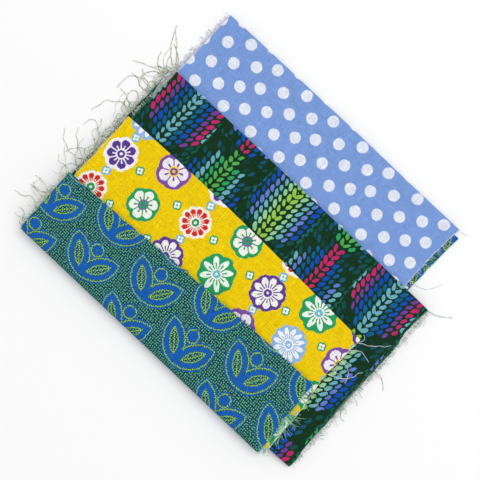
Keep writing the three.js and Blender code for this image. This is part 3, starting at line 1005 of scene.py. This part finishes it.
def write_bake_map(name, piece):
    rows = cloth_rows(name)
    lengths = way_lengths(rows)
    mesh = with_real_thickness(piece)
    width = max(loop.uv[0] for loop in mesh.uv_layers["cloth"].data)
    cloth_map = [loop.uv.copy() for loop in mesh.uv_layers["cloth"].data]
    bake = mesh.uv_layers.new(name="OFBake")
    half = len(mesh.vertices) // 2
    bare = bare_from(name) - mean_edge(name)
    for face in mesh.polygons:
        places = [cloth_map[i] for i in face.loop_indices]
        is_selvage = max(p[1] for p in places) - min(p[1] for p in places) < 1e-9
        for i in face.loop_indices:
            share = cloth_map[i][0] / width
            length = cloth_map[i][1] / MM
            on_wrong = mesh.loops[i].vertex_index >= half
            x = between(BAKE_LEFT, BAKE_RIGHT, share)
            y = bake_row(length, lengths[0], bare, lengths[-1])
            if face.material_index == 1:
                y = between(*WRONG_BAND, (length - lengths[0]) / (lengths[-1] - lengths[0]))
            elif face.material_index == 2 and is_selvage:
                y = SELVAGE_BANDS[int(length > 0)][int(on_wrong)]
            elif face.material_index == 2:
                x = RIM_BANDS["left" if share < 0.5 else "right"][int(on_wrong)]
            bake.data[i].uv = (x, y)
    return mesh


for name, piece in cloths.items():
    mesh = write_bake_map(name, piece)
    mesh.calc_loop_triangles()
    print(name, "cloth:", len(mesh.loop_triangles), "triangles")

# %% [markdown]
# ## Frayed ends
# The short ends are raw, and loose threads stick out of them in wide curls. We make each
# end's threads as one curve object with many splines, bevelled to the thickness of a
# thread, and then turn it into a mesh. A thread leaves the cloth between its plies, bends
# this way and that, and comes down on whatever lies below.

# %% Thread finishes


def thread_finish(name, pale, tint):
    """A cotton thread: pale where it was under the others, tinted where it was printed."""
    finish = Finish(name)
    where = finish.node("TexCoord", {}, {}, 3)
    settings = {"noise_dimensions": "3D"}
    patches = finish.node("TexNoise", settings, {"Vector": where, "Scale": 420.0, "Detail": 1.0})
    colour = finish.paint(pale, patches.below(0.5, 0.12), tint)
    return finish.finish_with(
        Base_Color=colour, Roughness=0.85, Specular_IOR_Level=0.15,
        Sheen_Weight=0.02, Sheen_Roughness=0.4,
    )


THREAD_COLOURS = {
    "hay": ("CDD1BE", "98A08B"), "olive": ("5E6850", "36432F"), "pine": ("2C4034", "0E2C1E"),
    "straw": ("D6CF90", "A9A250"), "slate": ("3F5453", "1B3640"), "lilac": ("E2E1EA", "C3C8E0"),
    "white": ("F2F5F6", "D3DDDA"), "sage": ("B9C6BC", "5E7F6C"), "snow": ("F6F8FA", "E6ECEE"),
    "mint": ("B4DEC8", "6FB89A"),
}
thread_finishes = {
    name: thread_finish("thread_" + name, *tints) for name, tints in THREAD_COLOURS.items()
}
print("thread finishes:", ", ".join(thread_finishes))

# %% Frayed ends of the four cuts
THREAD_RADIUS = 0.2
THICKNESS = {"left": (0.75, 1.6), "right": (0.6, 1.2)}
LONG_THREADS = {"left": 1.7, "right": 1.15}
THICKEST = THREAD_RADIUS * LONG_THREADS["left"]
HAIR_THICKNESS = (0.35, 0.6)
HAIR_LENGTH = (0.2, 2.6)
HAIR_CURL = 0.3
BESIDE_THICKNESS = 0.8
BESIDE_STARTS = (0, 0.2)
BESIDE_STOPS = (0.7, 1)
BESIDE_GAP = 0.3
BESIDE_APART = 0.4
LENGTH_SKEW = 1.2
TAPER = 0.4

# One row for each frayed end: where it starts and stops along Y, how many loose threads,
# short hairs and threads lying beside the cut end it has, the length of its threads, how
# far they lean towards larger Y, how much they curl, a seed and their tints
Fray = namedtuple(
    "Fray", "cut side start stop threads hairs beside shortest longest lean curl seed tints",
)
FRAYS = [
    Fray("teal", "left", 3, 54, 36, 90, 1, 3, 26, -0.05, 0.4, 11, "hay straw olive hay slate"),
    Fray("yellow", "left", 56, 110, 50, 90, 2, 4, 38, 0.1, 0.42, 23, "hay straw olive pine slate"),
    Fray("green", "left", 112, 157, 46, 80, 2, 4, 40, 0.35, 0.42, 37, "hay pine lilac pine slate"),
    Fray("blue", "left", 160, 213, 44, 110, 0, 1.5, 7, 0.1, 0.3, 41, "lilac white sage"),
    Fray("teal", "right", 2, 61, 14, 50, 0, 3, 12, -0.3, 0.25, 53, "mint sage white pine"),
    Fray("yellow", "right", 62, 108, 7, 12, 0, 4, 16, 0.0, 0.25, 61, "white sage snow"),
    Fray("green", "right", 10, 157, 26, 300, 0, 1.5, 9, 0.1, 0.4, 79, "sage mint pine slate"),
    Fray("blue", "right", 159, 214, 6, 40, 0, 1.5, 9, 0.1, 0.15, 83, "lilac white sage"),
]

# The longest loose threads, one row each: from a cut end at y, to a place on the stack
# or the floor, with a bulge to the left of the way
Stray = namedtuple("Stray", "cut side y to bulge tint")
STRAYS = [
    Stray("green", "left", 156, (-18.9, 182.5), 4.0, "pine"),
    Stray("green", "left", 153, (-11.0, 171.0), -3.5, "pine"),
    Stray("green", "left", 155, (-17.0, 179.0), -1.0, "lilac"),
    Stray("green", "left", 150, (-14.5, 160.5), 5.0, "pine"),
    Stray("green", "left", 147, (-10.5, 150.0), -6.0, "slate"),
    Stray("green", "left", 154, (-8.0, 166.0), 4.5, "pine"),
    Stray("green", "left", 141, (-16.0, 136.0), 6.0, "pine"),
    Stray("yellow", "left", 104, (-17.0, 122.0), -5.0, "slate"),
    Stray("yellow", "left", 88, (-12.0, 97.0), 5.0, "pine"),
    Stray("yellow", "left", 72, (-15.0, 62.0), -5.0, "olive"),
    Stray("teal", "left", 40, (-17.0, 27.0), 4.0, "slate"),
    Stray("teal", "left", 30, (-19.0, 34.0), -3.0, "straw"),
    Stray("green", "right", 156.5, (269.1, 165.7), -1.5, "sage"),
    Stray("green", "right", 99, (268.5, 93.2), 3.0, "pine"),
    Stray("green", "right", 66, (264.0, 58.0), -2.5, "slate"),
    Stray("blue", "right", 164, (247.7, 178.9), -5.5, "sage"),
    Stray("blue", "right", 213.6, (237.4, 215.8), 0.3, "sage"),
    Stray("yellow", "right", 104.8, (249.8, 120.3), -1.5, "snow"),
    Stray("yellow", "right", 96, (246.0, 101.0), 4.0, "snow"),
    Stray("yellow", "right", 75, (247.8, 93.3), -4.0, "snow"),
    Stray("yellow", "right", 88, (244.0, 79.0), 4.0, "white"),
    Stray("teal", "right", 57, (243.0, 52.0), 3.0, "white"),
]

# A tuft of threads that fans out over the green cut, from the teal cut's right end
TUFT_THREADS = 26
TUFT_FROM = (27.0, 36.0)
TUFT_TO = (11.0, 41.0)
TUFT_REACH = (9.0, 14.0)
TUFT_SPREAD = 2
TUFT_THICKNESS = 0.75
TUFT_TINT = "mint"
print("frayed ends:", len(FRAYS), "with", sum(fray.threads for fray in FRAYS), "loose threads")

# %% [markdown]
# ## The way of a loose thread
# We first draw a thread's way as seen from above: it sets out from the cut end and
# curls, or it bows to a place that we chose. Then we lay it down: it falls more and more
# steeply until it meets a cloth or the floor.

# %% The way of a thread
OUTWARDS = {"left": -1, "right": 1}
THREAD_STEP = 0.7
BESIDE_STEP = 1.5

# A thread sets out straight as far as its start, and ends where it comes back nearer to
# its root than its least reach. It may turn a little at first, and then it curls and waves
THREAD_START = 1.3
LEAST_REACH = 0.9
FIRST_TURN = 0.7
WAVE_SHARES = (0.1, 0.7)
WAVE_LENGTHS = (7, 20)
STRAY_WAVE = 1.4
STRAY_WAVE_LENGTH = 4.0
FALL = 0.09
STEEPEST = 0.8

# How near a thread has to be to a cloth to lie on it, how high it then lies, and how far
# from its root it can lie on any cloth, not only on those below its own
OVERLAP_X = 0.6
OVERLAP_Y = 0.5
LIFT = 0.15
CLEAR_OF_ROOT = 4


def top_of(name, on_flap, x, y):
    return settle(name, on_flap, x, y, level_of(name, on_flap) * PITCH + SHEET)


def rest_height(x, y, own_level, is_far):
    """The height of what a thread lies on at a place: the cloths below its own, or any
    cloth once it is well away from its root, or else the floor."""
    height = 0.0
    for name in NAMES:
        for on_flap in (0, 1):
            edge = flap_edge(name, held(x / CUT_LENGTH)) if on_flap else CUTS[name]["base_edge"]
            share = width_share(name, y, edge)
            left = end_at(name, "left", on_flap, share) - OVERLAP_X
            right = end_at(name, "right", on_flap, share) + OVERLAP_X
            near, far = CUTS[name]["inset"] - OVERLAP_Y, edge + OVERLAP_Y
            is_over = near < y < far and left < x < right
            if is_over and (is_far or level_of(name, on_flap) < own_level):
                height = max(height, top_of(name, on_flap, x, y) + LIFT)
    return height


def laid_down(name, plan, ply):
    """Gives a thread's way on the plan its heights: it leaves the cloth level with its
    ply, bends down, and comes to lie on what is below."""
    level = level_of(name, True)
    z = settle(name, 1, *plan[0], level * PITCH + SHEET - (ply + 0.5) * PLY_PITCH)
    heights = [z]
    slope = 0.0
    travelled = 0.0
    for before, after in zip(plan, plan[1:]):
        step = math.dist(before, after)
        travelled += step
        slope = min(STEEPEST, slope + FALL * step)
        rest = rest_height(*after, level, travelled > CLEAR_OF_ROOT) + THICKEST
        z = max(rest, z - slope * step)
        heights.append(z)
    return [(x, y, height) for (x, y), height in zip(plan, heights)]


def root_of(name, side, y):
    """Where a thread at y starts, a millimetre inside the cut end."""
    return end_at(name, side, 1, width_share(name, y, mean_edge(name))) - OUTWARDS[side], y


def curled_plan(name, side, y, length, lean, curl, chance):
    """A loose thread seen from above: it sets out from the cut end and bends at random, and
    ends where a loop of it comes back to the cloth."""
    x, y = root_of(name, side, y)
    plan = [(x, y), (x + OUTWARDS[side] * THREAD_START, y)]
    out = THREAD_START
    heading = lean + chance.uniform(-FIRST_TURN, FIRST_TURN)
    bend = chance.uniform(-curl, curl)
    wave = chance.uniform(*WAVE_SHARES) * curl
    wave_length = chance.uniform(*WAVE_LENGTHS)
    phase = chance.uniform(0, 6.28)
    for i in range(max(2, round(length / THREAD_STEP))):
        along = i * THREAD_STEP
        out += THREAD_STEP * math.cos(heading)
        if out < LEAST_REACH:
            break
        y += THREAD_STEP * math.sin(heading)
        heading += THREAD_STEP * (bend + wave * math.sin(2 * math.pi * along / wave_length + phase))
        plan.append((x + OUTWARDS[side] * out, y))
    return plan


def straying_plan(start, end, bulge, seed):
    """A long loose thread seen from above: one bow from start to end, a little wavy."""
    way = Vector(end) - Vector(start)
    aside = Vector((-way.y, way.x)).normalized()
    steps = round(way.length / THREAD_STEP)
    plan = []
    for i in range(steps + 1):
        share = i / steps
        along = share * way.length / STRAY_WAVE_LENGTH
        wobble = noise.noise(Vector((along, seed, 0))) * STRAY_WAVE * share
        place = Vector(start) + way * share + aside * (bulge * math.sin(math.pi * share) + wobble)
        plan.append(tuple(place))
    return plan


def edge_way(name, side, start, stop, offset, seed):
    """A thread that has come loose along the cut end and lies beside it."""
    outwards = OUTWARDS[side]
    level = level_of(name, True)
    points = []
    steps = round((stop - start) / BESIDE_STEP)
    for i in range(steps + 1):
        y = between(start, stop, i / steps)
        x = root_of(name, side, y)[0] + outwards
        x += outwards * offset * (0.6 + noise.noise(Vector((y / 6, seed, 1))))
        points.append((x, y, settle(name, 1, x, y, level * PITCH + SHEET * 0.55)))
    return points


root = root_of("green", "left", 150)
print("a green thread at y 150 starts", round(root[0], 2), "mm from the stack's corner along x")

# %% [markdown]
# ## From ways to threads
# Each way becomes one spline of a curve, and the curve's bevel gives it its thickness. The
# other pieces are meshes, so we take the mesh that the curve gives. Each end then has its
# own loose threads, hairs and strays, in the order in which its random numbers are drawn.

# %% Make the threads


def add_spline(curve, points, thickness, tint):
    """One thread. Its tint doesn't show yet: while the curve has no materials, Blender
    keeps 0, so every thread of an end gets the first tint of its row."""
    spline = curve.splines.new("POLY")
    spline.points.add(len(points) - 1)
    spline.material_index = tint
    for index, (point, place) in enumerate(zip(spline.points, points)):
        point.co = (*in_frame(*place), 1)
        point.radius = thickness * (1 - TAPER * index / len(points))


def stray_ways(name, side):
    """The ways and tints of the longest threads of one end."""
    ways = []
    for index, stray in enumerate(STRAYS):
        if (stray.cut, stray.side) == (name, side):
            plan = straying_plan(root_of(name, side, stray.y), stray.to, stray.bulge, index)
            ways.append((laid_down(name, plan, 0), stray.tint))
    return ways


def tuft_ways(chance):
    """The ways and tints of the threads of the tuft."""
    low, high = -TUFT_SPREAD, TUFT_SPREAD
    ways = []
    for index in range(TUFT_THREADS):
        share = index / (TUFT_THREADS - 1)
        start = root_of("teal", "right", between(*TUFT_FROM, share))
        end_x = start[0] + chance.uniform(*TUFT_REACH)
        end_y = between(*TUFT_TO, share) + chance.uniform(low, high)
        plan = straying_plan(start, (end_x, end_y), chance.uniform(low, high), index + 40)
        ways.append((laid_down("teal", plan, 0), TUFT_TINT))
    return ways


def thread_curve(name):
    """A curve whose splines get the thickness of a thread."""
    curve = bpy.data.curves.new(name, "CURVE")
    curve.dimensions = "3D"
    curve.bevel_depth = THREAD_RADIUS * MM
    curve.bevel_resolution = 0
    curve.use_fill_caps = True
    return curve


def mesh_of(curve):
    """The mesh that the curve's splines give."""
    holder = in_scene("threads_in_the_making", curve)
    graph = bpy.context.evaluated_depsgraph_get()
    mesh = bpy.data.meshes.new_from_object(holder.evaluated_get(graph))
    bpy.data.objects.remove(holder)
    return mesh


def frayed_end(fray):
    name, side, tints = fray.cut, fray.side, fray.tints.split()
    chance = random.Random(fray.seed)
    curve = thread_curve(f"{name}_threads_{side}_curve")
    for index in range(fray.threads):
        y = between(fray.start, fray.stop, (index + chance.random()) / fray.threads)
        length = between(fray.shortest, fray.longest, chance.random() ** LENGTH_SKEW)
        plan = curled_plan(name, side, y, length, fray.lean, fray.curl, chance)
        points = laid_down(name, plan, chance.randrange(PLIES))
        add_spline(curve, points, chance.uniform(*THICKNESS[side]), chance.randrange(len(tints)))
    for index in range(fray.hairs):
        y = between(fray.start, fray.stop, chance.random())
        plan = curled_plan(name, side, y, chance.uniform(*HAIR_LENGTH), 0, HAIR_CURL, chance)
        points = laid_down(name, plan, chance.randrange(PLIES))
        add_spline(curve, points, chance.uniform(*HAIR_THICKNESS), chance.randrange(2))
    for index in range(fray.beside):
        start = between(fray.start, fray.stop, chance.uniform(*BESIDE_STARTS))
        stop = between(fray.start, fray.stop, chance.uniform(*BESIDE_STOPS))
        gap = BESIDE_GAP + index * BESIDE_APART
        way = edge_way(name, side, start, stop, gap, index + 3)
        add_spline(curve, way, BESIDE_THICKNESS, index)
    ways = stray_ways(name, side)
    if (name, side) == ("teal", "right"):
        ways += tuft_ways(chance)
    for points, tint in ways:
        thickness = TUFT_THICKNESS if tint == TUFT_TINT else LONG_THREADS[side]
        add_spline(curve, points, thickness, tints.index(tint))
    mesh = mesh_of(curve)
    mesh.name = f"{name}_threads_{side}"
    return as_piece(mesh.name, mesh, [thread_finishes[tint] for tint in tints])


threads = {(fray.cut, fray.side): frayed_end(fray) for fray in FRAYS}
for (name, side), piece in threads.items():
    piece.data.calc_loop_triangles()
    print(name, side, "threads:", len(piece.data.loop_triangles), "triangles")

# %% [markdown]
# ## Putting the pieces in place of the solids
# Each cloth takes the place of its CAD solid, which stays for collision. We attach it and its
# two frayed ends to the root body, and hide the CAD solids of the cut and of its frayed ends.

for name, piece in cloths.items():
    lengths = way_lengths(cloth_rows(name))
    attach(piece, "root")
    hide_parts(name + "_cut")
    ends = [threads[(name, "left")], threads[(name, "right")]]
    for side, end in zip(("left", "right"), ends):
        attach(end, "root")
        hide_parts(f"{name}_fray_{side}")

# %% [markdown]
# ## Floor and light
# The photograph has a white table and soft daylight. The stack's shadow falls softly
# past its shared fold, so the light comes from over the far edge. A wide area light does
# that, and an even white sky fills the shadows. The plain Standard view keeps the
# colours of the cloth as they are.

# %% Floor and light
FLOOR_SIZE = 4.0
FLOOR_WHITE = 0.92
SKY_STRENGTH = 0.75
KEY_WATTS = 37.0
KEY_SIZE = 1.8
KEY_DISTANCE = 3.0
KEY_HEIGHT_ANGLE = math.radians(60)
KEY_SIDE_ANGLE = math.radians(80)

floor_mesh = bpy.data.meshes.new("floor")
floor_shape = bmesh.new()
bmesh.ops.create_grid(floor_shape, x_segments=1, y_segments=1, size=FLOOR_SIZE / 2)
floor_shape.to_mesh(floor_mesh)
floor_shape.free()
floor_finish = Finish("table_top")
floor_colour = (FLOOR_WHITE, FLOOR_WHITE, FLOOR_WHITE, 1)
floor_finish.finish_with(Base_Color=floor_colour, Roughness=0.7, Specular_IOR_Level=0.1)
floor = as_piece("floor", floor_mesh, [floor_finish.material])

world = bpy.data.worlds.new("sky")
world.use_nodes = True
sky = world.node_tree.nodes["Background"]
sky.inputs[0].default_value = (1.0, 1.0, 1.0, 1.0)
sky.inputs[1].default_value = SKY_STRENGTH
scene.world = world

key_data = bpy.data.lights.new("daylight", "AREA")
key_data.energy = KEY_WATTS
key_data.size = KEY_SIZE
key = in_scene("daylight", key_data)
flat = math.cos(KEY_HEIGHT_ANGLE)
towards = Vector((
    flat * math.cos(KEY_SIDE_ANGLE), flat * math.sin(KEY_SIDE_ANGLE), math.sin(KEY_HEIGHT_ANGLE),
))
key.location = in_frame(CAMERA_X, CAMERA_Y, 0) + towards * KEY_DISTANCE
key.rotation_euler = towards.to_track_quat("Z", "Y").to_euler()
scene.view_settings.view_transform = "Standard"
print("light at", [round(c, 2) for c in key.location])
